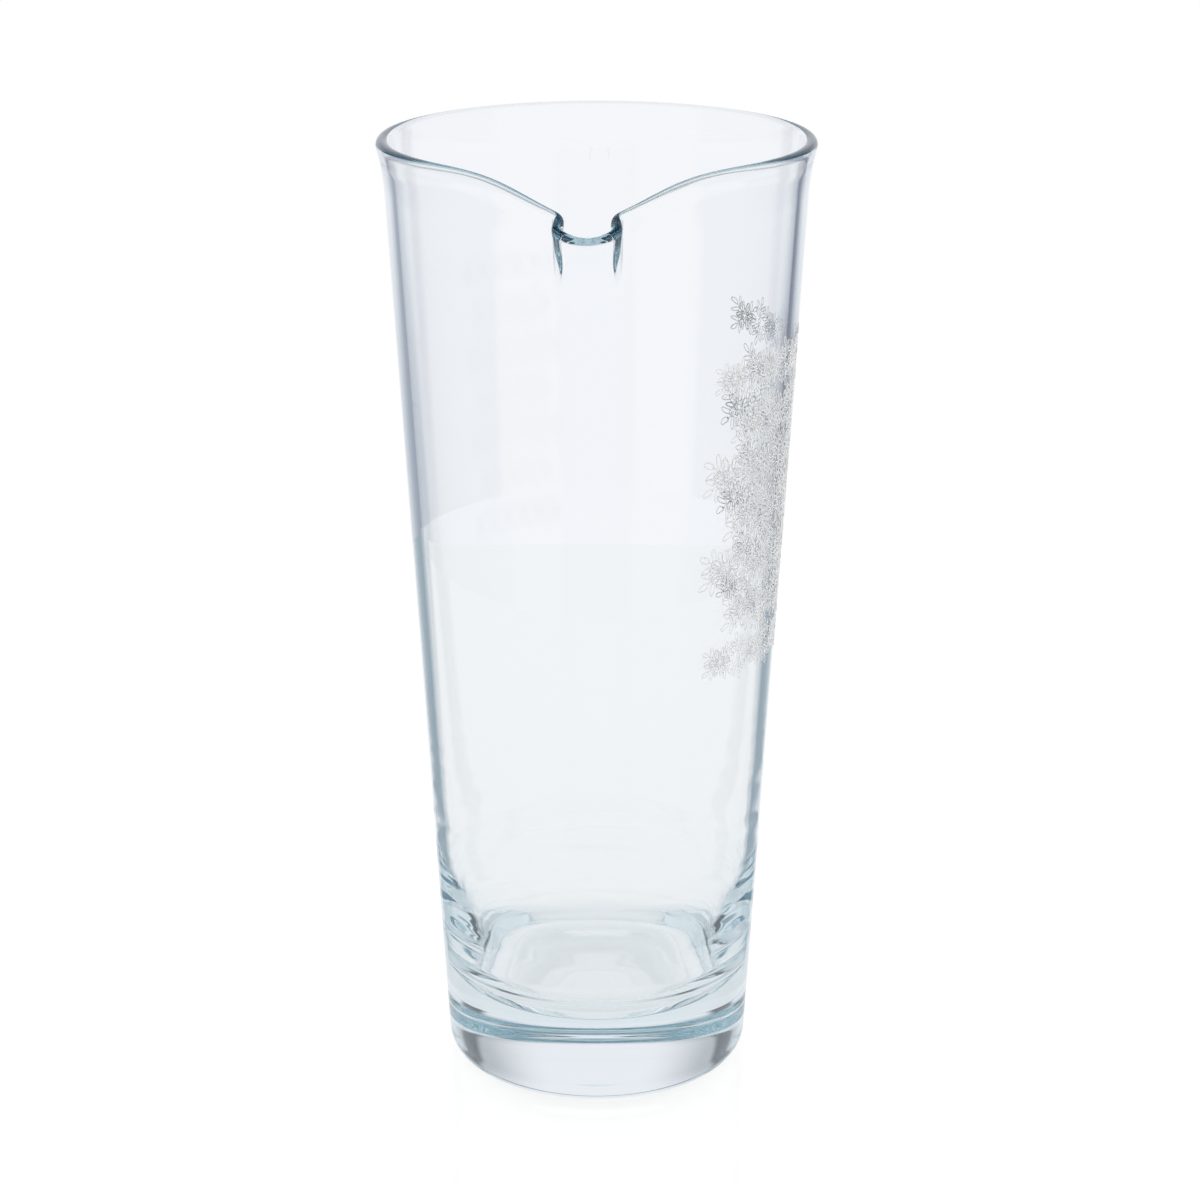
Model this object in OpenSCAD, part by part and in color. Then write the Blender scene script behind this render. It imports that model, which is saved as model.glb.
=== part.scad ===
// Glass cocktail pitcher: a tapered tumbler shape blown in one piece of heavy clear glass,
// with a thick solid base, a fire-polished rim and a small spout pulled out of the rim.
// An upright panel of frosted rosettes is fired on its right-hand side.
// The origin is the middle of the underside, +Z is up and the spout points along -Y.

/* [Body] */
// Height from the table to the crest of the rim at its sides
height = 200; // [185:1:230]
// Outer diameter that the straight taper has where it would reach the table
foot_d = 63.8; // [58:0.1:72]
// Outer diameter that the straight taper has where it would reach the rim's level
mouth_d = 86.5; // [80:0.1:96]
// Radius of the rounded heel, where the wall turns under to the foot
heel_r = 5.3; // [2:0.1:8]

/* [Wall] */
// Thickness of the wall from a little above the base up to the rim
wall_top = 2.2; // [1.6:0.1:3]
// Thickness of the wall at the bottom of the cavity, where it runs into the heavy base
wall_low = 4.7; // [3.2:0.1:6]
// Height up to which the wall keeps its heavy thickness
heavy_z = 26; // [20:1:40]
// Height from which the wall keeps its thin thickness
thin_z = 46; // [42:1:120]

/* [Bottom of the cavity] */
// Thickness of the solid glass under the cavity's floor
base_t = 16.9; // [12:0.1:26]
// Radius of the flat floor
floor_r = 19.7; // [16:0.1:21.5]
// Steepness of the cone that rises from the floor's edge, in degrees
slope_angle = 32; // [20:1:50]
// Radius of the round bowl between the cone and the wall
bowl_r = 9; // [5:0.5:11]

/* [Rim] */
// Thickness of the fire-polished bead that closes the rim
bead_t = 2.6; // [2.2:0.1:3.4]
// Height of the band in which the wall swells into the bead
bead_h = 4; // [3:0.5:6]
// How far the rim leans out beyond the straight taper
flare = 1.1; // [0:0.05:2]
// Height of the band in which the rim leans out
flare_h = 11; // [6:0.5:16]

/* [Spout] */
// How far the lip of the spout stands out beyond the rim
spout_reach = 7; // [4:0.1:9]
// Half the length of rim that is drawn into the spout
spout_half_w = 6.1; // [5.4:0.1:8]
// How far the two shoulders of the spout are pinched towards each other
spout_pinch = 2.8; // [1:0.1:3.2]
// Length of rim, each side of the spout, over which the pinch dies away
pinch_w = 9; // [8:0.5:12]
// Depth of the pouring channel below its shoulders
spout_drop = 1.7; // [0.5:0.1:4]
// Height of the wall that is drawn out into the spout
spout_h = 21; // [18:1:30]
// Depth of the long dip of the rim towards the spout
dip_depth = 8.9; // [4:0.1:12]
// Length of rim, each side of the spout, over which the dip rises again
dip_w = 10.2; // [9:0.1:14]
// Height of the wall that follows the rim down in the dip
dip_h = 60; // [40:1:80]

/* [Frosted panel] */
// Thickness of the fired frosting
frost_t = 0.15; // [0.1:0.05:0.4]
// Direction in which the panel's middle looks, from the spout, in degrees
panel_angle = 86; // [70:1:110]
// Height of the panel's middle above the table, as a share of the pitcher's height
panel_middle_share = 0.64; // [0.53:0.01:0.66]
// Height between two rows of rosettes
row_pitch = 9.9; // [9.6:0.1:12]
// Distance between two rosettes in a row, measured along the glass
column_pitch = 11.6; // [10.4:0.1:13]
// Radius of a full-size rosette over its petals
rosette_r = 4.3; // [3:0.1:4.6]
// Radius of the small dots between the rosettes
dot_r = 0.9; // [0.5:0.1:1.2]
// Number of rows of rosettes
row_count = 7; // [3:2:7]
// Number of rosettes in the longest row
column_count = 6; // [2:1:6]

/* [Hidden] */

// Angles of a quarter of a turn, half a turn and a whole one
quarter_turn_angle = 90;
half_turn_angle = 2 * quarter_turn_angle;
full_turn_angle = 2 * half_turn_angle;

// Radius of the middle of the wall at the rim
rim_r = mouth_d / 2 - wall_top / 2 + flare;
// Height of the centre of the bead's round top
bead_z = height - bead_t / 2;
// Height of the frosted panel's middle above the table
panel_z = panel_middle_share * height;
// Step over which the slope of the wall is taken
probe_share = 0.0005;
probe = rim_r * probe_share;
// Angle of a stretch of rim, in degrees for each unit of its length
angle_along_rim = half_turn_angle / (PI * rim_r);

// How flat-bottomed the spout is, and how upright its two sides stand
side_power = 14;
// How quickly the spout, the pinch and the lean of the rim grow towards the crest
pull_power = 2.2;
squeeze_power = 1.3;
lean_power = 1.6;
// How far the middle of the lip runs ahead of its corners, as shares of the reach and the drop
round_reach_share = 0.30;
round_drop_share = 0.45;
// Distance from the spout's middle, as a share of its half width, where that rounding ends
round_end_share = 1.3;
// How much thinner the bead is drawn at the spout
drawn_share = 0.2;

// Steps round the glass: half the spout, the rest of the dip, and the plain part of one side
spout_steps = 19;
dip_steps = 8;
plain_steps = 22;
// How much closer together the steps are at the spout's two sides
crowd_share = 0.8;
// Angle from the spout at which the dip has died away
dip_end_angle = 42;
// Steps up the wall and round its small radii
low_steps = 4;
high_steps = 14;
heel_steps = 5;
bead_steps = 6;
bowl_steps = 5;
// How much closer together the rings are near the rim, and inside just above the bowl
crowd_power = 1.5;
low_crowd_power = 1.6;

// A number from 0 to 1 that starts and stops softly
function soft(t) = let (c = min(1, max(0, t))) c * c * (3 - 2 * c);

// Share of the way up a band of height h below the rim
function up(z, h) = max(0, (z - (height - h)) / h);

// Outer radius of the straight taper, and the thickness of the wall, at height z
function taper_r(z) = (foot_d + (mouth_d - foot_d) * z / height) / 2;
function wall_t(z) = wall_low + (wall_top - wall_low) * soft((z - heavy_z) / (thin_z - heavy_z));

// Distance along the rim from the middle of the spout, for a direction t in degrees
function along(t) = abs(t) / angle_along_rim;

// 1 inside the spout, 0 outside it
function in_spout(a) = 1 / (1 + pow(a / spout_half_w, side_power));

// Bell shapes of the pinch and of the dip, over the distance along the rim
function pinch(a) = spout_pinch * (1 - in_spout(a)) * exp(-pow(a / pinch_w, 2));
function dip(a) = dip_depth * exp(-pow(a / dip_w, 2) / 2);

// Middle of the wall in direction t at height z
function mid(t, z) =
    let (a = along(t))
    let (q = min(round_end_share, a / spout_half_w))
    let (b = in_spout(a))
    let (pull = pow(up(z, spout_h), pull_power))
    let (squeeze = pow(up(z, spout_h), squeeze_power))
    let (lean = flare * pow(up(z, flare_h), lean_power))
    let (out = spout_reach * pull * b * (1 - round_reach_share * q * q))
    let (down = spout_drop * pull * b * (1 - round_drop_share * q * q))
    let (r = taper_r(z) - wall_t(z) / 2 + lean + out)
    let (s = sign(t) * (a - squeeze * pinch(a)) * angle_along_rim)
    [r * sin(s), -r * cos(s), z - down - soft(up(z, dip_h)) * dip(a)];

// Thickness of the glass in direction t at height z
function glass_t(t, z) =
    let (swell = (bead_t - wall_top) * soft(1 + (z - bead_z) / bead_h))
    let (drawn = drawn_share * soft(up(z, spout_h)) * exp(-pow(along(t) / (2 * spout_half_w), 2)))
    (wall_t(z) + swell) * (1 - drawn);

// Point on the skin of the glass: turn is 0 outside, 90 on the crest and 180 inside
function skin(t, z, turn) =
    let (dt = probe * angle_along_rim)
    let (across = mid(t + dt, z) - mid(t - dt, z))
    let (upward = mid(t, z + probe) - mid(t, z - probe))
    let (n = cross(across, upward))
    let (out = n / norm(n))
    let (w = cross(out, across))
    let (rise = w / norm(w))
    mid(t, z) + glass_t(t, z) / 2 * (cos(turn) * out + sin(turn) * rise);

// Directions round the glass, closest together at the two sides of the spout
function spout_q(s) = s - crowd_share / PI * sin(half_turn_angle * (s - 1));
function spout_angle(s) = spout_q(s) * spout_half_w * angle_along_rim;
function between(low, high, share) = low + (high - low) * share;
spout_end_angle = spout_angle(2);
half_turns = concat(
    [for (k = [1 : spout_steps]) spout_angle(2 * k / spout_steps)],
    [for (k = [1 : dip_steps]) between(spout_end_angle, dip_end_angle, k / dip_steps)],
    [for (k = [1 : plain_steps - 1]) between(dip_end_angle, half_turn_angle, k / plain_steps)]
);
halves = len(half_turns);
turns = concat(
    [for (k = [halves - 1 : -1 : 0]) -half_turns[k]],
    [0],
    half_turns,
    [half_turn_angle]
);

// Heights of the rings on the outer wall: a low part, and a high part that is closest at the rim
low_z = heel_r + wall_low;
high_z = height - dip_h;
high_rings = [
    for (k = [0 : high_steps])
        between(high_z, bead_z, 1 - pow(1 - k / high_steps, crowd_power))
];
outer_rings = concat(
    [for (k = [0 : low_steps - 1]) between(low_z, high_z, k / low_steps)],
    high_rings
);

// Bottom of the cavity: the bowl meets the leaning wall above and the cone below without a kink
lean_angle = atan((mouth_d - foot_d) / (2 * height));
bowl_end_angle = quarter_turn_angle - slope_angle;
bowl_drop = bowl_r * (sin(bowl_end_angle) - sin(lean_angle));
bowl_in = bowl_r * (cos(lean_angle) - cos(bowl_end_angle));
floor_gap = taper_r(base_t) - wall_low - floor_r;
slope_w = (floor_gap - bowl_in + tan(lean_angle) * bowl_drop) / (1 - tan(lean_angle) * tan(slope_angle));
bowl_low_z = base_t + slope_w * tan(slope_angle);
bowl_mid_r = floor_r + slope_w - bowl_r * cos(bowl_end_angle);
bowl_mid_z = bowl_low_z + bowl_r * sin(bowl_end_angle);

// The inner wall starts a little above the bowl
inner_low_z = bowl_low_z + bowl_drop + wall_low / 4;
inner_low_steps = 2 * low_steps;
inner_rings = concat(
    [
        for (k = [0 : inner_low_steps - 1])
            between(inner_low_z, high_z, pow(k / inner_low_steps, low_crowd_power))
    ],
    high_rings
);

// Plain round ring, and rings on the skin of the wall
function ring(r, z) = [for (t = turns) [r * sin(t), -r * cos(t), z]];
function skin_ring(z, turn) = [for (t = turns) skin(t, z, turn)];

// Ring k of the rounded heel and of the bowl
heel_mid_r = taper_r(heel_r) - heel_r;
function heel_ring(k) =
    let (g = quarter_turn_angle * k / heel_steps)
    ring(heel_mid_r + heel_r * sin(g), heel_r * (1 - cos(g)));
function bowl_ring(k) =
    let (g = between(lean_angle, bowl_end_angle, k / bowl_steps))
    ring(bowl_mid_r + bowl_r * cos(g), bowl_mid_z - bowl_r * sin(g));

// All rings in order: heel, outer wall, bead, inner wall, bowl and the floor's edge
inner_count = len(inner_rings);
rings = concat(
    [for (k = [0 : heel_steps]) heel_ring(k)],
    [for (z = outer_rings) skin_ring(z, 0)],
    [for (k = [1 : bead_steps - 1]) skin_ring(bead_z, half_turn_angle * k / bead_steps)],
    [for (k = [inner_count - 1 : -1 : 0]) skin_ring(inner_rings[k], half_turn_angle)],
    [for (k = [0 : bowl_steps]) bowl_ring(k)],
    [ring(floor_r, base_t)]
);

// Closed body: rings joined by triangles, with a flat disc below and the cavity's floor above
module glass_body() {
    n = len(turns);
    last = len(rings) - 1;
    foot_mid = n * (last + 1);
    floor_mid = foot_mid + 1;
    points = concat([for (one = rings) each one], [[0, 0, 0], [0, 0, base_t]]);
    sides = [
        for (i = [0 : last - 1])
            for (j = [0 : n - 1])
                let (a = i * n + j)
                let (b = i * n + (j + 1) % n)
                each [[a, a + n, b + n], [a, b + n, b]]
    ];
    under = [for (j = [0 : n - 1]) [foot_mid, j, (j + 1) % n]];
    floor = [for (j = [0 : n - 1]) [floor_mid, last * n + (j + 1) % n, last * n + j]];
    color("lightblue", 0.45) polyhedron(points, concat(sides, under, floor), convexity = 8);
}

// Number of petals of a rosette, and how much of the radius they cut into
petal_count = 6;
petal_share = 0.32;
// Size of the rosettes in the first and last row, as a share of full size
end_row_share = 0.6;
// Edges of a rosette and of a dot
rosette_edge_count = 24;
dot_edge_count = 8;

// Point on the taper at a distance s round it from the panel's middle, at height z, lifted by h
function on_wall(s, z, h) =
    let (r = taper_r(z) + h)
    let (t = panel_angle + s * half_turn_angle / (PI * taper_r(panel_z)))
    [r * sin(t), -r * cos(t), z];

// A flat patch of frosting that follows the wall; depth is the cut between its petals
module patch(s, z, r, depth, count) {
    edge = [
        for (k = [0 : count - 1])
            let (g = full_turn_angle * k / count)
            let (e = r * (1 - depth + depth * cos(petal_count * g)))
            [s + e * sin(g), z + e * cos(g)]
    ];
    below = [for (p = edge) on_wall(p[0], p[1], 0)];
    above = [for (p = edge) on_wall(p[0], p[1], frost_t)];
    points = concat(below, above, [on_wall(s, z, 0), on_wall(s, z, frost_t)]);
    faces = [
        for (k = [0 : count - 1])
            let (m = (k + 1) % count)
            each [
                [2 * count, m, k],
                [2 * count + 1, count + k, count + m],
                [k, m, count + m],
                [k, count + m, count + k]
            ]
    ];
    polyhedron(points, faces);
}

// Rosettes in staggered rows that grow smaller towards the panel's ends, with dots between them
module frosted_print() {
    color("whitesmoke") for (row = [0 : row_count - 1]) {
        z = panel_z + (row - (row_count - 1) / 2) * row_pitch;
        from_middle = abs(2 * row / (row_count - 1) - 1);
        size = 1 - (1 - end_row_share) * from_middle * from_middle;
        count = column_count - row % 2;
        for (col = [0 : count - 1]) {
            s = (col - (count - 1) / 2) * column_pitch;
            patch(s, z, rosette_r * size, petal_share, rosette_edge_count);
            if (col < count - 1) patch(s + column_pitch / 2, z, dot_r, 0, dot_edge_count);
        }
    }
}

glass_body();
frosted_print();
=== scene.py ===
from math import cos, exp, pi, radians, sin

import bpy
from mathutils import Matrix, Vector


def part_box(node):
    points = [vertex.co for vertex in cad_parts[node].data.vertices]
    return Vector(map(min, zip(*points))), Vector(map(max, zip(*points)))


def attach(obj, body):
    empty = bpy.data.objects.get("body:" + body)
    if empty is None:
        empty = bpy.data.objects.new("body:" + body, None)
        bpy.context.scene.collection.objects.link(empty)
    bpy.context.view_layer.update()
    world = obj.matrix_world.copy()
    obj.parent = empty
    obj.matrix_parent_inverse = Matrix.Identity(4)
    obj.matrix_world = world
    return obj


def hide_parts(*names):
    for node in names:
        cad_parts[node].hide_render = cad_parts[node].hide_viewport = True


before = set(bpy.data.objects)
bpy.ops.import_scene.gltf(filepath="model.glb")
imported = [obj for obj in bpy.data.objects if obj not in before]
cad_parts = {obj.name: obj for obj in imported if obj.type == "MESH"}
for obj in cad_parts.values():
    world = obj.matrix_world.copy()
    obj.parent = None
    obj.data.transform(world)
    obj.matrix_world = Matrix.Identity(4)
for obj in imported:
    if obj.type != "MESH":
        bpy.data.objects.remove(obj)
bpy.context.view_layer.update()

# The viewpoint: a long lens looks down a little on the pitcher, a touch to the right of its
# spout. Distances are real; the focal length is given in pixels of a square picture.
PICTURE_PIXELS = 1200
LENS_PIXELS = 3070.5
EYE_DISTANCE = 0.6118
EYE_HEIGHT = 0.3065
EYE_ASIDE = 0.00066
EYE_TILT_DOWN = radians(18.48)
EYE_PAST_SPOUT = radians(2.2)

eye = bpy.data.cameras.new("eye")
eye.sensor_fit = "HORIZONTAL"
eye.lens = eye.sensor_width * LENS_PIXELS / PICTURE_PIXELS
camera = bpy.data.objects.new("camera", eye)
bpy.context.scene.collection.objects.link(camera)
camera.rotation_euler = (pi / 2 - EYE_TILT_DOWN, 0, EYE_PAST_SPOUT)
camera.location = Matrix.Rotation(EYE_PAST_SPOUT, 3, "Z") @ Vector((EYE_ASIDE, -EYE_DISTANCE, EYE_HEIGHT))
bpy.context.scene.camera = camera


# The glass itself: one piece, blown and tooled while hot. The wall thins upwards, the foot is
# a thick solid base, the rim is fire-polished to a bead, and the spout is pulled out of it.
# It is a sheet of points, each put on the skin of the glass by its column and row.
GLASS_SIZES = {
    "height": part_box("glass_body")[1].z,
    "foot diameter": 0.0638,
    "mouth diameter": 0.0865,
    "heel radius": 0.0053,
    "hollow radius": 0.024,
    "hollow depth": 0.0013,
    "wall top": 0.0022,
    "wall low": 0.0047,
    "heavy height": 0.026,
    "thin height": 0.046,
    "base": 0.0169,
    "floor radius": 0.0197,
    "floor edge": 0.0004,
    "bowl radius": 0.009,
    "bowl slope": radians(32),
    "bead": 0.0026,
    "bead height": 0.004,
    "flare": 0.00102,
    "flare height": 0.011,
    "spout reach": 0.007,
    "spout half width": 0.0061,
    "spout pinch": 0.0028,
    "pinch width": 0.009,
    "spout drop": 0.0017,
    "spout height": 0.021,
    "dip depth": 0.0089,
    "dip width": 0.0102,
    "dip height": 0.060,
}
# How sharp the spout's two sides are, how steeply its forms grow towards the rim, how round its
# lip is, and how much thinner the glass is drawn there
SIDE_POWER = 14
PULL_POWER = 2.2
SQUEEZE_POWER = 1.3
LEAN_POWER = 1.6
ROUND_REACH = 0.30
ROUND_DROP = 0.45
ROUND_END = 1.3
DRAWN_THIN = 0.2
# Where columns and rows stand closer together, and the small steps that find the skin's slope
DIP_END_ANGLE = radians(42)
CROWDED = 0.8
RIM_CROWD_POWER = 1.5
CREASE_CROWD_POWER = 2
PROBE_TURN = 0.0005
LARGEST_POWER = 60
EULER = exp(1)
# Columns of half a turn: half the spout, the rest of the dip, the plain part
SPOUT_COLUMNS = 48
DIP_COLUMNS = 20
PLAIN_COLUMNS = 60
HALF_COLUMNS = SPOUT_COLUMNS + DIP_COLUMNS + PLAIN_COLUMNS
# Rows from the middle of the underside, over the rim, to the middle of the cavity's floor
UNDER_ROWS = 14
HEEL_ROWS = 10
LOW_ROWS = 24
HIGH_ROWS = 56
BEAD_ROWS = 16
BOWL_ROWS = 12
SLOPE_ROWS = 14
FLOOR_ROWS = 12
WALL_ROWS = LOW_ROWS + HIGH_ROWS
FIRST_WALL_ROW = UNDER_ROWS + HEEL_ROWS + 2
LAST_OUTER_ROW = FIRST_WALL_ROW + WALL_ROWS
LAST_WALL_ROW = LAST_OUTER_ROW + BEAD_ROWS + WALL_ROWS
LAST_BOWL_ROW = LAST_WALL_ROW + BOWL_ROWS + 1
LAST_SLOPE_ROW = LAST_BOWL_ROW + SLOPE_ROWS
LAST_ROW = LAST_SLOPE_ROW + FLOOR_ROWS
MELD = 0.000001


class Amount:
    """A number or a vector that a node tree works out, written with the usual signs."""

    def __init__(self, socket):
        self.socket = socket

    def __add__(self, other):
        return reckon("ADD", self, other)

    def __sub__(self, other):
        return reckon("SUBTRACT", self, other)

    def __rsub__(self, other):
        return reckon("SUBTRACT", other, self)

    def __mul__(self, other):
        return reckon("MULTIPLY", self, other)

    __radd__ = __add__
    __rmul__ = __mul__

    def __truediv__(self, other):
        return reckon("DIVIDE", self, other)

    def __rtruediv__(self, other):
        return reckon("DIVIDE", other, self)

    def __pow__(self, other):
        return reckon("POWER", self, other)


def plug(tree, value, place):
    """Links an amount to an input, or sets the input to a plain value."""
    if isinstance(value, Amount):
        tree.links.new(value.socket, place)
    else:
        place.default_value = value


def reckon(operation, *values):
    """The amount that a math node makes of these numbers and amounts."""
    tree = next(value.socket.id_data for value in values if isinstance(value, Amount))
    node = tree.nodes.new("ShaderNodeMath")
    node.operation = operation
    for value, place in zip(values, node.inputs):
        plug(tree, value, place)
    return Amount(node.outputs[0])


def vector(operation, *values):
    """The same for vectors, the first of which is an amount."""
    tree = values[0].socket.id_data
    node = tree.nodes.new("ShaderNodeVectorMath")
    node.operation = operation
    for value, place in zip(values, node.inputs):
        plug(tree, value, place)
    return Amount(node.outputs[0])


def scaled(direction, length):
    tree = direction.socket.id_data
    node = tree.nodes.new("ShaderNodeVectorMath")
    node.operation = "SCALE"
    plug(tree, direction, node.inputs["Vector"])
    plug(tree, length, node.inputs["Scale"])
    return Amount(node.outputs[0])


def point(*values):
    tree = next(value.socket.id_data for value in values if isinstance(value, Amount))
    node = tree.nodes.new("ShaderNodeCombineXYZ")
    for value, place in zip(values, node.inputs):
        plug(tree, value, place)
    return Amount(node.outputs[0])


def ramp(value, low, high, at_low=0.0, at_high=1.0, kind="LINEAR"):
    tree = value.socket.id_data
    node = tree.nodes.new("ShaderNodeMapRange")
    node.interpolation_type = kind
    for entry, place in zip((value, low, high, at_low, at_high), node.inputs):
        plug(tree, entry, place)
    return Amount(node.outputs[0])


def soft(value, low, high, at_low=0.0, at_high=1.0):
    """A ramp with rounded ends."""
    return ramp(value, low, high, at_low, at_high, "SMOOTHSTEP")


def bell(distance, width):
    """One at no distance, falling off to nought in a bell curve."""
    return reckon("EXPONENT", 0 - (distance / width) ** 2)


def parts_of(tree, socket):
    """The three numbers that a vector is made of."""
    node = tree.nodes.new("ShaderNodeSeparateXYZ")
    tree.links.new(socket, node.inputs[0])
    return [Amount(part) for part in node.outputs]


def new_tree(name, sizes):
    """A geometry tree with a named input for each size, and the amounts that they give."""
    tree = bpy.data.node_groups.new(name, "GeometryNodeTree")
    tree.interface.new_socket("Geometry", in_out="OUTPUT", socket_type="NodeSocketGeometry")
    for title in sizes:
        tree.interface.new_socket(title, in_out="INPUT", socket_type="NodeSocketFloat")
    inputs = tree.nodes.new("NodeGroupInput")
    return tree, {title: Amount(inputs.outputs[title]) for title in sizes}


def grown_mesh(tree, sizes, name):
    """The plain mesh that the tree gives for these sizes, as an object of its own."""
    carrier = bpy.data.objects.new(name + "_carrier", bpy.data.meshes.new(name + "_carrier"))
    bpy.context.scene.collection.objects.link(carrier)
    modifier = carrier.modifiers.new("shape", "NODES")
    modifier.node_group = tree
    for entry in tree.interface.items_tree:
        if entry.in_out == "INPUT":
            modifier[entry.identifier] = sizes[entry.name]
    ready = carrier.evaluated_get(bpy.context.evaluated_depsgraph_get())
    mesh = bpy.data.meshes.new_from_object(ready)
    bpy.data.objects.remove(carrier)
    mesh.name = name
    piece = bpy.data.objects.new(name, mesh)
    bpy.context.scene.collection.objects.link(piece)
    return piece


def end_tree(tree, geometry, material):
    """Finishes a tree: instances made real, a material set, and the result put out."""
    real = tree.nodes.new("GeometryNodeRealizeInstances")
    paint = tree.nodes.new("GeometryNodeSetMaterial")
    paint.inputs["Material"].default_value = material
    out = tree.nodes.new("NodeGroupOutput")
    tree.links.new(geometry, real.inputs[0])
    tree.links.new(real.outputs[0], paint.inputs["Geometry"])
    tree.links.new(paint.outputs[0], out.inputs[0])


def taper_r(size, z):
    """The radius of the plain tapered outside, at this height."""
    growth = size["mouth diameter"] - size["foot diameter"]
    return (size["foot diameter"] + growth * z / size["height"]) / 2


def glass_tree(material):
    tree, size = new_tree("blown glass", GLASS_SIZES)
    node = tree.nodes
    rim = size["mouth diameter"] / 2 - size["wall top"] / 2 + size["flare"]
    bead_z = size["height"] - size["bead"] / 2
    half_w = size["spout half width"]

    def up(z, band):
        return ramp(z, size["height"] - size[band], size["height"])

    def wall_t(z):
        return soft(z, size["heavy height"], size["thin height"], size["wall low"], size["wall top"])

    def middle_of_wall(turn, z):
        along = reckon("ABSOLUTE", turn) * rim
        inside = 1 / (1 + (along / half_w) ** SIDE_POWER)
        q = reckon("MINIMUM", along / half_w, ROUND_END)
        pull = up(z, "spout height") ** PULL_POWER * inside
        squeeze = up(z, "spout height") ** SQUEEZE_POWER
        pinch = size["spout pinch"] * (1 - inside) * bell(along, size["pinch width"]) * squeeze
        lean = size["flare"] * up(z, "flare height") ** LEAN_POWER
        dip_share = soft(z, size["height"] - size["dip height"], size["height"])
        dip = size["dip depth"] * reckon("SQRT", bell(along, size["dip width"])) * dip_share
        out = size["spout reach"] * pull * (1 - ROUND_REACH * q * q)
        down = size["spout drop"] * pull * (1 - ROUND_DROP * q * q)
        r = taper_r(size, z) - wall_t(z) / 2 + lean + out
        aim = reckon("SIGN", turn) * (along - pinch) / rim
        return point(r * reckon("SINE", aim), 0 - r * reckon("COSINE", aim), z - down - dip)

    def glass_t(turn, z):
        along = reckon("ABSOLUTE", turn) * rim
        swell = (size["bead"] - size["wall top"]) * soft(z, bead_z - size["bead height"], bead_z)
        near_rim = soft(z, size["height"] - size["spout height"], size["height"])
        return (wall_t(z) + swell) * (1 - DRAWN_THIN * near_rim * bell(along, 2 * half_w))

    sheet = node.new("GeometryNodeMeshGrid")
    sheet.inputs["Vertices X"].default_value = 2 * HALF_COLUMNS + 1
    sheet.inputs["Vertices Y"].default_value = LAST_ROW + 1
    index = Amount(node.new("GeometryNodeInputIndex").outputs[0])
    column = reckon("FLOOR", index / (LAST_ROW + 1) + 0.5 / (LAST_ROW + 1))
    row = index - column * (LAST_ROW + 1)

    # Direction of a column, closest together at the two sides of the spout
    step = column - HALF_COLUMNS
    steps = reckon("ABSOLUTE", step)
    s = ramp(steps, 0, SPOUT_COLUMNS, 0, 2)
    in_spout = (s - CROWDED / pi * reckon("SINE", pi * (s - 1))) * half_w / rim
    spout_end = 2 * half_w / rim
    in_dip = ramp(steps, SPOUT_COLUMNS, SPOUT_COLUMNS + DIP_COLUMNS) * (DIP_END_ANGLE - spout_end)
    in_plain = ramp(steps, SPOUT_COLUMNS + DIP_COLUMNS, HALF_COLUMNS, 0, pi - DIP_END_ANGLE)
    turn = reckon("SIGN", step) * (in_spout + in_dip + in_plain)

    # Height of a row on the wall, and how far it has turned over the rim
    over = ramp(row, LAST_OUTER_ROW, LAST_OUTER_ROW + BEAD_ROWS, 0, pi)
    inner = reckon("GREATER_THAN", over, pi / 2)
    lean_angle = reckon("ARCTAN2", size["mouth diameter"] - size["foot diameter"], 2 * size["height"])
    lean_share = reckon("TANGENT", lean_angle)
    slope_share = reckon("TANGENT", size["bowl slope"])
    end_angle = pi / 2 - size["bowl slope"]
    bowl_drop = size["bowl radius"] * (reckon("SINE", end_angle) - reckon("SINE", lean_angle))
    bowl_in = size["bowl radius"] * (reckon("COSINE", lean_angle) - reckon("COSINE", end_angle))
    floor_wall_r = taper_r(size, size["base"]) - size["wall low"]
    slope_width = floor_wall_r - size["floor radius"] - bowl_in + lean_share * bowl_drop
    slope_width = slope_width / (1 - lean_share * slope_share)
    slope_end_r = size["floor radius"] + slope_width
    corner_z = size["base"] + slope_width * slope_share + bowl_drop
    low_outer = size["heel radius"] + size["wall low"]
    low_inner = corner_z + size["wall low"] / 4
    start_z = low_outer + (low_inner - low_outer) * inner
    high_z = size["height"] - size["dip height"]
    climb = reckon("MINIMUM", row - FIRST_WALL_ROW, LAST_WALL_ROW - row)
    high_share = 1 - (1 - ramp(climb, LOW_ROWS, WALL_ROWS)) ** RIM_CROWD_POWER
    z = start_z + (high_z - start_z) * ramp(climb, 0, LOW_ROWS) + (bead_z - high_z) * high_share

    # Point on the skin, half a thickness off the middle of the wall
    probe = rim * PROBE_TURN
    across = vector("SUBTRACT", middle_of_wall(turn + PROBE_TURN, z), middle_of_wall(turn - PROBE_TURN, z))
    upward = vector("SUBTRACT", middle_of_wall(turn, z + probe), middle_of_wall(turn, z - probe))
    out = vector("NORMALIZE", vector("CROSS_PRODUCT", across, upward))
    rise = vector("NORMALIZE", vector("CROSS_PRODUCT", out, across))
    aside = vector("ADD", scaled(out, reckon("COSINE", over)), scaled(rise, reckon("SINE", over)))
    skin = vector("ADD", middle_of_wall(turn, z), scaled(aside, glass_t(turn, z) / 2))

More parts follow.
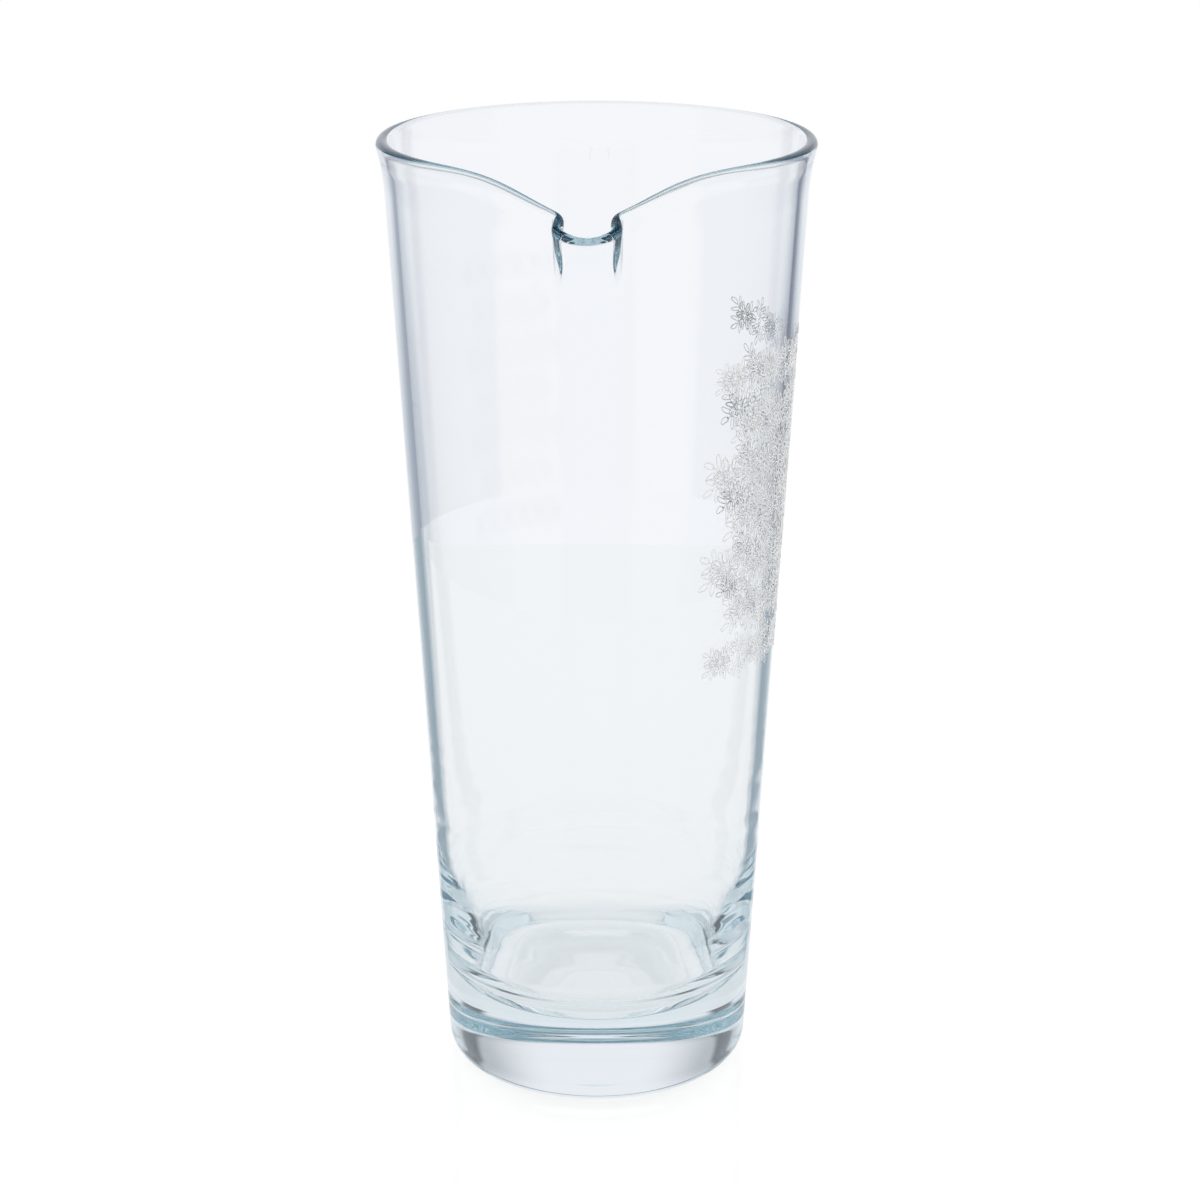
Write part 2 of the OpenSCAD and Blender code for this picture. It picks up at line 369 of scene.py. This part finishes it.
    # Plain rings: the heel and the underside below, the cavity's rounded corner and floor above
    under = ramp(row, 0, UNDER_ROWS)
    heel_turn = ramp(row, UNDER_ROWS + 1, UNDER_ROWS + HEEL_ROWS + 1, 0, pi / 2)
    heel_mid = taper_r(size, size["heel radius"]) - size["heel radius"]
    past_hollow = reckon("GREATER_THAN", row, UNDER_ROWS + 0.5)
    heel_r = heel_mid + size["heel radius"] * reckon("SINE", heel_turn)
    heel_r = heel_r * past_hollow + size["hollow radius"] * under * (1 - past_hollow)
    hollow = size["hollow depth"] * (1 - under * under)
    heel_z = size["heel radius"] * (1 - reckon("COSINE", heel_turn)) + hollow
    bowl_turn = ramp(row, LAST_WALL_ROW + 1, LAST_BOWL_ROW, lean_angle, end_angle)
    to_end = reckon("COSINE", bowl_turn) - reckon("COSINE", end_angle)
    bowl_r = slope_end_r + size["bowl radius"] * to_end
    above_end = reckon("SINE", end_angle) - reckon("SINE", bowl_turn)
    bowl_z = size["base"] + slope_width * slope_share + size["bowl radius"] * above_end
    on_slope = ramp(row, LAST_BOWL_ROW, LAST_SLOPE_ROW, 1, 0) ** CREASE_CROWD_POWER
    on_floor = ramp(row, LAST_SLOPE_ROW, LAST_ROW) ** CREASE_CROWD_POWER
    low_r = size["floor radius"] * (1 - on_floor) + slope_width * on_slope
    past_edge = (low_r - size["floor radius"]) / size["floor edge"]
    past_edge = reckon("EXPONENT", reckon("MINIMUM", past_edge, LARGEST_POWER))
    past_edge = reckon("LOGARITHM", 1 + past_edge, EULER)
    low_z = size["base"] + slope_share * size["floor edge"] * past_edge
    below_bowl = reckon("GREATER_THAN", row, LAST_BOWL_ROW + 0.5)
    floor_r = bowl_r + (low_r - bowl_r) * below_bowl
    floor_z = bowl_z + (low_z - bowl_z) * below_bowl
    upper = reckon("GREATER_THAN", row, LAST_WALL_ROW)
    ring_r = heel_r + (floor_r - heel_r) * upper
    ring_z = heel_z + (floor_z - heel_z) * upper
    ring = point(ring_r * reckon("SINE", turn), 0 - ring_r * reckon("COSINE", turn), ring_z)
    on_wall = (1 - upper) * reckon("GREATER_THAN", row, FIRST_WALL_ROW - 0.5)
    place = vector("ADD", scaled(skin, on_wall), scaled(ring, 1 - on_wall))

    shaped = node.new("GeometryNodeSetPosition")
    tree.links.new(sheet.outputs["Mesh"], shaped.inputs["Geometry"])
    tree.links.new(place.socket, shaped.inputs["Position"])
    closed = node.new("GeometryNodeMergeByDistance")
    closed.inputs["Distance"].default_value = MELD
    tree.links.new(shaped.outputs[0], closed.inputs["Geometry"])
    smooth = node.new("GeometryNodeSetShadeSmooth")
    tree.links.new(closed.outputs[0], smooth.inputs["Geometry"])
    end_tree(tree, smooth.outputs[0], material)
    return tree


# Ripples that the tools left low on the wall: how many to a metre, how deep, and how high up
RIPPLE_SCALE = (16, 16, 130)
RIPPLE_DEPTH = 0.0003
RIPPLE_TOP = 0.09
RIPPLE_END = 0.023
RIPPLE_FADE = 0.01
# The teal that light takes on along its way through the glass
TEAL_BY_DEPTH = (0.375, 0.625, 0.7125, 1)
TEAL_DENSITY = 5


def clear_glass():
    material = bpy.data.materials.new("clear glass")
    material.use_nodes = True
    nodes = material.node_tree.nodes
    shader = nodes["Principled BSDF"]
    shader.inputs["Base Color"].default_value = (1, 1, 1, 1)
    shader.inputs["Transmission Weight"].default_value = 1
    shader.inputs["IOR"].default_value = 1.5
    shader.inputs["Roughness"].default_value = 0.0
    links = material.node_tree.links
    place = nodes.new("ShaderNodeTexCoord")
    squash = nodes.new("ShaderNodeMapping")
    squash.inputs["Scale"].default_value = RIPPLE_SCALE
    links.new(place.outputs["Object"], squash.inputs["Vector"])
    ripple = nodes.new("ShaderNodeTexNoise")
    ripple.inputs["Scale"].default_value = 1
    ripple.inputs["Detail"].default_value = 1
    links.new(squash.outputs[0], ripple.inputs["Vector"])
    level = parts_of(material.node_tree, place.outputs["Object"])[2]
    low_down = soft(level, RIPPLE_TOP, RIPPLE_TOP / 2) * soft(level, RIPPLE_END, RIPPLE_END + RIPPLE_FADE)
    bump = nodes.new("ShaderNodeBump")
    bump.inputs["Distance"].default_value = RIPPLE_DEPTH
    links.new((Amount(ripple.outputs[0]) * low_down).socket, bump.inputs["Height"])
    links.new(bump.outputs[0], shader.inputs["Normal"])
    depth = nodes.new("ShaderNodeVolumeAbsorption")
    depth.inputs["Color"].default_value = TEAL_BY_DEPTH
    depth.inputs["Density"].default_value = TEAL_DENSITY
    links.new(depth.outputs[0], nodes["Material Output"].inputs["Volume"])
    return material


glass = grown_mesh(glass_tree(clear_glass()), GLASS_SIZES, "blown_glass")
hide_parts("glass_body")
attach(glass, "root")


# The frosted print: small flowers and sprigs drawn in thin lines of matt frosting, fired on to
# the outside of the wall in staggered rows. It is drawn flat and then wrapped round the taper.
PRINT_SIZES = {
    "height": GLASS_SIZES["height"],
    "foot diameter": GLASS_SIZES["foot diameter"],
    "mouth diameter": GLASS_SIZES["mouth diameter"],
    "panel angle": radians(86),
    "panel height": 0.128,
    "row pitch": 0.0099,
    "column pitch": 0.0116,
    "flower radius": 0.0043,
    "dot radius": 0.0007,
    "sprig length": 0.0062,
    "line": 0.00025,
    "thickness": 0.00012,
    "gap": 0.00002,
}
PRINT_ROWS = 7
PRINT_COLUMNS = 6
END_ROW_SHARE = 0.7
FLOWER_TURN = radians(137.5)
BETWEEN_TURNS = (0.2, pi + 0.2)
UNDER_FLOWER_TURNS = (radians(62), radians(-54), radians(118), radians(-130))
# A flower and a sprig, in units of their own length: middle, half length and half width of loops
PETALS = 6
PETAL = (0.66, 0.33, 0.23)
PETAL_VEIN = (0.52, 0.84)
INNER_PETAL = (0.36, 0.15, 0.11)
FLOWER_EYE = 0.15
STEM = (0.1, 0.85)
BUD = (1.02, 0.1, 0.22)
LEAF = (0.26, 0.27, 0.09)
LEAF_HEIGHTS = (0.38, 0.72)
LEAF_TURN = radians(40)
LOOP_EDGES = 12
SMALL_LOOP_EDGES = 10
DOT_EDGES = 8
PEN_EDGES = 4


def made(tree, kind, **values):
    """A node of this kind with its inputs plugged by name, as the amount that it gives."""
    node = tree.nodes.new(kind)
    for title, value in values.items():
        plug(tree, value, node.inputs[title.replace("_", " ").title()])
    return Amount(node.outputs[0])


def joined(tree, *shapes):
    node = tree.nodes.new("GeometryNodeJoinGeometry")
    for shape in shapes:
        tree.links.new(shape.socket, node.inputs[0])
    return Amount(node.outputs[0])


def print_tree(material):
    tree, size = new_tree("frosted print", PRINT_SIZES)

    def loop(x, y, length, width, turn=0.0, edges=LOOP_EDGES):
        ring = made(tree, "GeometryNodeCurvePrimitiveCircle", resolution=edges, radius=1.0)
        ring = made(tree, "GeometryNodeTransform", geometry=ring, scale=(length, width, 1))
        turned = (0, 0, turn)
        return made(tree, "GeometryNodeTransform", geometry=ring, translation=(x, y, 0), rotation=turned)

    def stroke(start, end):
        return made(tree, "GeometryNodeCurvePrimitiveLine", start=start, end=end)

    def around(shape, count, turn):
        number = made(tree, "GeometryNodeInputIndex")
        points = made(tree, "GeometryNodePoints", count=count)
        angle = point(0, 0, number * (2 * pi / count) + turn)
        return made(tree, "GeometryNodeInstanceOnPoints", points=points, instance=shape, rotation=angle)

    # One flower and one sprig, both about one unit long
    petal = loop(PETAL[0], 0, PETAL[1], PETAL[2])
    petal = joined(tree, petal, stroke((PETAL_VEIN[0], 0, 0), (PETAL_VEIN[1], 0, 0)))
    inner = loop(INNER_PETAL[0], 0, INNER_PETAL[1], INNER_PETAL[2], edges=SMALL_LOOP_EDGES)
    eyelet = loop(0, 0, FLOWER_EYE, FLOWER_EYE)
    flower = joined(tree, around(petal, PETALS, 0), around(inner, PETALS, pi / PETALS), eyelet)
    stem = stroke((0, STEM[0], 0), (0, STEM[1], 0))
    bud = loop(0, BUD[0], BUD[1], BUD[2], edges=SMALL_LOOP_EDGES)
    leaves = [
        loop(side * LEAF[0], level, LEAF[1], LEAF[2], side * LEAF_TURN, SMALL_LOOP_EDGES)
        for side in (-1, 1)
        for level in LEAF_HEIGHTS
    ]
    sprig = joined(tree, stem, bud, *leaves)

    # Places in staggered rows: a flower over four sprigs, and a dot and two sprigs between neighbours
    number = made(tree, "GeometryNodeInputIndex")
    row = reckon("FLOOR", number / PRINT_COLUMNS + 0.5 / PRINT_COLUMNS)
    column = number - row * PRINT_COLUMNS
    count = PRINT_COLUMNS - reckon("MODULO", row, 2)
    along = (column - (count - 1) / 2) * size["column pitch"]
    upward = (row - (PRINT_ROWS - 1) / 2) * size["row pitch"]
    from_middle = 2 * row / (PRINT_ROWS - 1) - 1
    scale = 1 - (1 - END_ROW_SHARE) * from_middle * from_middle

    def placed(shape, shift, last_column, length, rotation):
        where = point(along + shift, upward, 0)
        points = made(tree, "GeometryNodePoints", count=PRINT_ROWS * PRINT_COLUMNS, position=where)
        return made(
            tree,
            "GeometryNodeInstanceOnPoints",
            points=points,
            selection=reckon("LESS_THAN", column, last_column + 0.5),
            instance=shape,
            rotation=rotation,
            scale=point(length, length, length),
        )

    between = size["column pitch"] / 2
    last, last_between = count - 1, count - 2
    dot = loop(0, 0, 1, 1, edges=DOT_EDGES)
    spray = size["sprig length"] * scale
    flower_turn = point(0, 0, number * FLOWER_TURN)
    drawing = joined(
        tree,
        placed(flower, 0, last, size["flower radius"] * scale, flower_turn),
        placed(dot, between, last_between, size["dot radius"] * scale, (0, 0, 0)),
        *[placed(sprig, between, last_between, spray, (0, 0, turn)) for turn in BETWEEN_TURNS],
        *[placed(sprig, 0, last, spray, (0, 0, turn)) for turn in UNDER_FLOWER_TURNS],
    )
    drawing = made(tree, "GeometryNodeRealizeInstances", geometry=drawing)
    pen = made(tree, "GeometryNodeCurvePrimitiveCircle", resolution=PEN_EDGES, radius=size["line"] / 2)
    lines = made(tree, "GeometryNodeCurveToMesh", curve=drawing, profile_curve=pen, fill_caps=True)

    # The flat drawing wrapped round the taper
    x, y, z = parts_of(tree, made(tree, "GeometryNodeInputPosition").socket)
    level = size["panel height"] + y
    r = taper_r(size, level) + size["gap"] + size["thickness"] * (z / size["line"] + 0.5)
    turn = size["panel angle"] + x / taper_r(size, size["panel height"])
    wrapped = point(r * reckon("SINE", turn), 0 - r * reckon("COSINE", turn), level)
    shaped = made(tree, "GeometryNodeSetPosition", geometry=lines, position=wrapped)
    end_tree(tree, shaped.socket, material)
    return tree


def frosting():
    material = bpy.data.materials.new("frosting")
    material.use_nodes = True
    nodes = material.node_tree.nodes
    shader = nodes["Principled BSDF"]
    shader.inputs["Roughness"].default_value = 0.85
    shader.inputs["Specular IOR Level"].default_value = 0.2
    shader.inputs["Subsurface Weight"].default_value = 0.5
    shader.inputs["Subsurface Radius"].default_value = (1.0, 1.0, 1.0)
    shader.inputs["Subsurface Scale"].default_value = 0.0004
    place = nodes.new("ShaderNodeTexCoord")
    grain = nodes.new("ShaderNodeTexNoise")
    grain.inputs["Scale"].default_value = 3500
    grain.inputs["Detail"].default_value = 2
    material.node_tree.links.new(place.outputs["Object"], grain.inputs["Vector"])
    tones = nodes.new("ShaderNodeValToRGB")
    tones.color_ramp.elements[0].position = 0.35
    tones.color_ramp.elements[0].color = (0.90, 0.92, 0.935, 1)
    tones.color_ramp.elements[1].position = 0.65
    tones.color_ramp.elements[1].color = (0.97, 0.98, 0.99, 1)
    material.node_tree.links.new(grain.outputs[0], tones.inputs[0])
    material.node_tree.links.new(tones.outputs[0], shader.inputs["Base Color"])
    bump = nodes.new("ShaderNodeBump")
    bump.inputs["Strength"].default_value = 0.2
    bump.inputs["Distance"].default_value = 0.00001
    material.node_tree.links.new(grain.outputs[0], bump.inputs["Height"])
    material.node_tree.links.new(bump.outputs[0], shader.inputs["Normal"])
    return material


drawn = grown_mesh(print_tree(frosting()), PRINT_SIZES, "fired_frosting")
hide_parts("frosted_print")
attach(drawn, "root")


# The light: an even white room, which the camera and the print see plain. The glass sees it as a
# studio with a teal ceiling and soft dark cards at its sides, so that its edges show. A side is
# an angle from straight ahead of the lens, a level is the height of a direction one metre long.
BOUNCES = 400
PLAIN_WHITE = (1.0, 1.0, 1.0, 1)
HORIZON_SOFT = 0.1


def mixed(tree, share, first, second):
    """A colour between two; the node's colour sockets come after those for other kinds."""
    node = tree.nodes.new("ShaderNodeMix")
    node.data_type = "RGBA"
    for value, place in zip((share, first, second), (node.inputs[0], node.inputs[6], node.inputs[7])):
        plug(tree, value, place)
    return Amount(node.outputs[2])


def turned_to_eye(x, y):
    """The two level directions of the room, which stands square to the long lens."""
    along, across = cos(EYE_PAST_SPOUT), sin(EYE_PAST_SPOUT)
    return x * along + y * across, y * along - x * across


def in_the_glass(path):
    """One for rays that pass through the glass or reflect in it, nought for all others."""
    reflected = Amount(path.outputs["Is Glossy Ray"])
    passed = Amount(path.outputs["Is Transmission Ray"])
    return reckon("MAXIMUM", reflected, passed)


world = bpy.data.worlds.new("room")
bpy.context.scene.world = world
world.use_nodes = True
room = world.node_tree
room.nodes.clear()
x, y, level = parts_of(room, room.nodes.new("ShaderNodeTexCoord").outputs["Generated"])
x, y = turned_to_eye(x, y)
side = reckon("ABSOLUTE", reckon("ARCTAN2", x, y))
below = soft(level, HORIZON_SOFT, -HORIZON_SOFT)

# The low half of the walls, from ahead to the sides, and what is lowest there
LOW_FADE_FROM = radians(12)
LOW_FADE_TO = radians(17)
LOWEST_FROM_LEVEL = -0.19
LOWEST_TO_LEVEL = -0.29
AHEAD_LOW_TONE = (0.915, 0.93, 0.965, 1)
SIDES_LOW_TONE = (0.80, 0.84, 0.88, 1)
SIDES_LOWEST_TONE = (0.49, 0.54, 0.60, 1)
lowest = soft(level, LOWEST_FROM_LEVEL, LOWEST_TO_LEVEL)
sides_low = mixed(room, lowest, SIDES_LOW_TONE, SIDES_LOWEST_TONE)
low = mixed(room, soft(side, LOW_FADE_FROM, LOW_FADE_TO) * below, AHEAD_LOW_TONE, sides_low)

# The high half of the walls
HIGH_FADE_FROM = radians(12)
HIGH_FADE_TO = radians(42)
HIGH_FROM_LEVEL = 0.05
HIGH_TO_LEVEL = 0.25
AHEAD_HIGH_TONE = (1.0, 0.96, 0.985, 1)
SIDES_HIGH_TONE = (0.50, 0.51, 0.53, 1)
high = mixed(room, soft(side, HIGH_FADE_FROM, HIGH_FADE_TO), AHEAD_HIGH_TONE, SIDES_HIGH_TONE)
wall = mixed(room, soft(level, HIGH_FROM_LEVEL, HIGH_TO_LEVEL), low, high)

# A dark card on each side. Its edge leans outwards as it rises, and stands at the first angle
# when this depth below the horizon.
CARD_FROM = radians(27)
CARD_WIDTH = radians(15)
CARD_LEAN = radians(20)
CARD_SOFT = radians(3)
CARD_DEPTH = 0.34
CARD_MIDDLE_SOFT = 0.1
CARD_HIGH_TONE = (0.10, 0.11, 0.13, 1)
CARD_LOW_LEFT_TONE = (0.34, 0.38, 0.46, 1)
CARD_LOW_RIGHT_TONE = (0.20, 0.22, 0.30, 1)
past_card_edge = side - (level * CARD_LEAN + (CARD_FROM + CARD_DEPTH * CARD_LEAN))
card_and_painted_shade = soft(past_card_edge, 0 - CARD_SOFT, CARD_SOFT)
card_and_painted_shade = card_and_painted_shade - soft(past_card_edge, CARD_WIDTH - CARD_SOFT, CARD_WIDTH + CARD_SOFT)
rightward = soft(x, -CARD_MIDDLE_SOFT, CARD_MIDDLE_SOFT)
card_low = mixed(room, rightward, CARD_LOW_LEFT_TONE, CARD_LOW_RIGHT_TONE)
wall = mixed(room, card_and_painted_shade, wall, mixed(room, soft(level, 0.0, -HORIZON_SOFT), CARD_HIGH_TONE, card_low))

# The grey wall well aside, and the white wall behind the lens with a greyer middle
ASIDE_FROM = radians(62)
ASIDE_SOFT = 0.1
ASIDE_FROM_LEVEL = 0.05
ASIDE_TO_LEVEL = 0.2
ASIDE_TONE = (0.68, 0.70, 0.73, 1)
WHITE_FROM = radians(120)
WHITE_TO = radians(156)
WHITE_SOFT = 0.03
BEHIND_LOW_TONE = (0.82, 0.84, 0.87, 1)
aside = soft(side, ASIDE_FROM, ASIDE_FROM + ASIDE_SOFT) * soft(level, ASIDE_FROM_LEVEL, ASIDE_TO_LEVEL)
wall = mixed(room, aside, wall, ASIDE_TONE)
wall = mixed(room, soft(side, WHITE_FROM - WHITE_SOFT, WHITE_FROM + WHITE_SOFT), wall, PLAIN_WHITE)
behind = soft(side, WHITE_TO - WHITE_SOFT, WHITE_TO + WHITE_SOFT)
wall = mixed(room, behind * below, wall, BEHIND_LOW_TONE)

# The ceiling, which starts higher ahead and is open behind the lens
CEILING_LEVEL = 0.69
CEILING_LEVEL_AHEAD = 0.78
CEILING_TURN = radians(26)
CEILING_SOFT = 0.04
TEAL_FROM = 0.8
TEAL_TO = 1.6
TEAL_AHEAD_TONE = (0.15, 0.21, 0.25, 1)
TEAL_BEHIND_TONE = (0.42, 0.56, 0.62, 1)
OPENING_FROM = 2.4
OPENING_TO = 2.6
OPENING_TOP_LEVEL = 0.92
OPENING_FULL_LEVEL = 0.86
teal = mixed(room, soft(side, TEAL_FROM, TEAL_TO), TEAL_AHEAD_TONE, TEAL_BEHIND_TONE)
ahead = soft(side, CEILING_TURN, CEILING_TURN / 2)
past_ceiling = level + ahead * (CEILING_LEVEL - CEILING_LEVEL_AHEAD) - CEILING_LEVEL
opening = soft(side, OPENING_FROM, OPENING_TO) * soft(level, OPENING_TOP_LEVEL, OPENING_FULL_LEVEL)
ceiling = soft(past_ceiling, -CEILING_SOFT, CEILING_SOFT) * (1 - opening)
studio = mixed(room, ceiling, wall, teal)

# What each kind of ray sees
path = room.nodes.new("ShaderNodeLightPath")
plain = mixed(room, in_the_glass(path), PLAIN_WHITE, studio)
seen = mixed(room, Amount(path.outputs["Is Camera Ray"]), plain, PLAIN_WHITE)
back = room.nodes.new("ShaderNodeBackground")
room.links.new(seen.socket, back.inputs["Color"])
end = room.nodes.new("ShaderNodeOutputWorld")
room.links.new(back.outputs[0], end.inputs["Surface"])

bpy.context.scene.view_settings.view_transform = "Standard"
cycles = bpy.context.scene.cycles
cycles.max_bounces = BOUNCES
cycles.glossy_bounces = BOUNCES
cycles.transmission_bounces = BOUNCES


# The table: a round white disc that takes the pitcher's shadow and a faint reflection. Only the glass
# sees the painted shade on it: greyer tones, and a dark card shape on either side of the foot's far half.
TABLE_RADIUS = 0.366
TABLE_DROP = 0.0002
TABLE_EDGES = 256
TABLE_GLOW = (0.81, 0.81, 0.81, 1)
TABLE_MATT = (0.20, 0.20, 0.20, 1)
TABLE_GLOSS_SHARE = 0.06
TABLE_ROUGHNESS = 0.06
# Painted shade that only the glass sees: a grey under the foot, and a darker grey beyond it
NEAR_PAINTED_SHADE = (0.70, 0.72, 0.735, 1)
FAR_PAINTED_SHADE = (0.645, 0.67, 0.69, 1)
FAR_FROM = 0.028
FAR_TO = 0.036
# Painted shade in the shape of a dark card: its inner edge is this far out beside the foot, and farther
# for each metre back
PAINTED_SHADE_TONE = (0.10, 0.18, 0.24, 1)
PAINTED_SHADE_AT_FOOT = 0.037
PAINTED_SHADE_SLOPE = 0.25
PAINTED_SHADE_LEAST = 0.001
PAINTED_SHADE_FROM = 1.08
PAINTED_SHADE_FULL = 1.25
PAINTED_SHADE_FRONT = 0.02
PAINTED_SHADE_FULL_FRONT = 0.045
PAINTED_SHADE_SPREAD = 0.8
PAINTED_SHADE_OUTER = 0.065
PAINTED_SHADE_FULL_OUTER = 0.050

bpy.ops.mesh.primitive_circle_add(vertices=TABLE_EDGES, radius=TABLE_RADIUS, fill_type="NGON")
table = bpy.context.object
table.name = "table"
table.data.transform(Matrix.Translation((0, 0, -TABLE_DROP)))
paint = bpy.data.materials.new("white table")
paint.use_nodes = True
coat = paint.node_tree
coat.nodes.clear()
x, y, _ = parts_of(coat, coat.nodes.new("ShaderNodeTexCoord").outputs["Object"])
x, y = turned_to_eye(x, y)
# Painted shade seen through the glass: greyer tones, darker beyond the foot
far = soft(reckon("SQRT", x * x + y * y), FAR_FROM, FAR_TO)
tone = mixed(coat, far, NEAR_PAINTED_SHADE, FAR_PAINTED_SHADE)
# A dark card shape of painted shade beside the foot's far half, seen only through the glass
out_from_middle = reckon("ABSOLUTE", x)
painted_shade_edge = reckon("MAXIMUM", y * PAINTED_SHADE_SLOPE + PAINTED_SHADE_AT_FOOT, PAINTED_SHADE_LEAST)
card_and_painted_shade = soft(out_from_middle / painted_shade_edge, PAINTED_SHADE_FROM, PAINTED_SHADE_FULL)
card_and_painted_shade = card_and_painted_shade * soft(y, PAINTED_SHADE_FRONT, PAINTED_SHADE_FULL_FRONT)
spread = out_from_middle - y * PAINTED_SHADE_SPREAD
card_and_painted_shade = card_and_painted_shade * soft(spread, PAINTED_SHADE_OUTER, PAINTED_SHADE_FULL_OUTER)
tone = mixed(coat, far * card_and_painted_shade, tone, PAINTED_SHADE_TONE)
tone = mixed(coat, in_the_glass(coat.nodes.new("ShaderNodeLightPath")), TABLE_GLOW, tone)
glow = coat.nodes.new("ShaderNodeEmission")
coat.links.new(tone.socket, glow.inputs["Color"])
matt = coat.nodes.new("ShaderNodeBsdfDiffuse")
matt.inputs["Color"].default_value = TABLE_MATT
gloss = coat.nodes.new("ShaderNodeBsdfGlossy")
gloss.inputs["Roughness"].default_value = TABLE_ROUGHNESS
gloss.inputs["Color"].default_value = PLAIN_WHITE
both = coat.nodes.new("ShaderNodeMixShader")
both.inputs[0].default_value = TABLE_GLOSS_SHARE
coat.links.new(matt.outputs[0], both.inputs[1])
coat.links.new(gloss.outputs[0], both.inputs[2])
total = coat.nodes.new("ShaderNodeAddShader")
coat.links.new(both.outputs[0], total.inputs[0])
coat.links.new(glow.outputs[0], total.inputs[1])
end = coat.nodes.new("ShaderNodeOutputMaterial")
coat.links.new(total.outputs[0], end.inputs["Surface"])
table.data.materials.append(paint)
